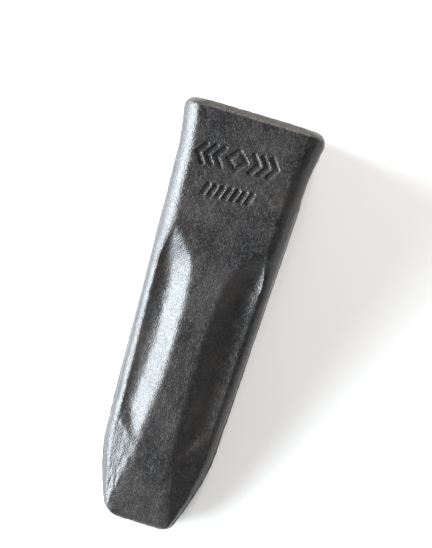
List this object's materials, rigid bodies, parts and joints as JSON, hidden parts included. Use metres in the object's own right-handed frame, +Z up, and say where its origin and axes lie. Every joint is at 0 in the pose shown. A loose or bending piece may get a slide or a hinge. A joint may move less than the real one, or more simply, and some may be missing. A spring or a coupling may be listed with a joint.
{
  "type": "excavator bucket tooth",
  "caption": "Wedge-shaped cast rock tooth with fluted faces and a tapered nose socket, locked by a cross pin and a rubber-backed split ring.",
  "frame": {"origin": "centre of the lock pin, on the tooth's middle plane", "axes": "+X level along the lower broad face towards the cutting edge, +Y along the lock pin towards the side it is driven out of, +Z up"},
  "size_m": [0.3767, 0.1268, 0.1409],
  "materials": {
    "tooth_point": "satin",
    "lock_pin": "satin",
    "retainer_ring": "satin",
    "retainer_bush": "matte"
  },
  "bodies": {
    "tooth": {"tooth_point": "tooth_point"},
    "retainer": {"retainer_ring": "retainer_ring", "retainer_bush": "retainer_bush"},
    "pin": {"lock_pin": "lock_pin"}
  },
  "joints": [
    {"name": "retainer_turn", "type": "hinge", "parent": "tooth", "child": "retainer", "pos_m": [0, 0, 0], "axis": [0, 1, 0], "continuous": true},
    {"name": "pin_slide", "type": "slide", "parent": "retainer", "child": "pin", "axis": [0, 1, 0], "range_m": [0, 0.125], "deforming": ["retainer_ring"]}
  ]
}
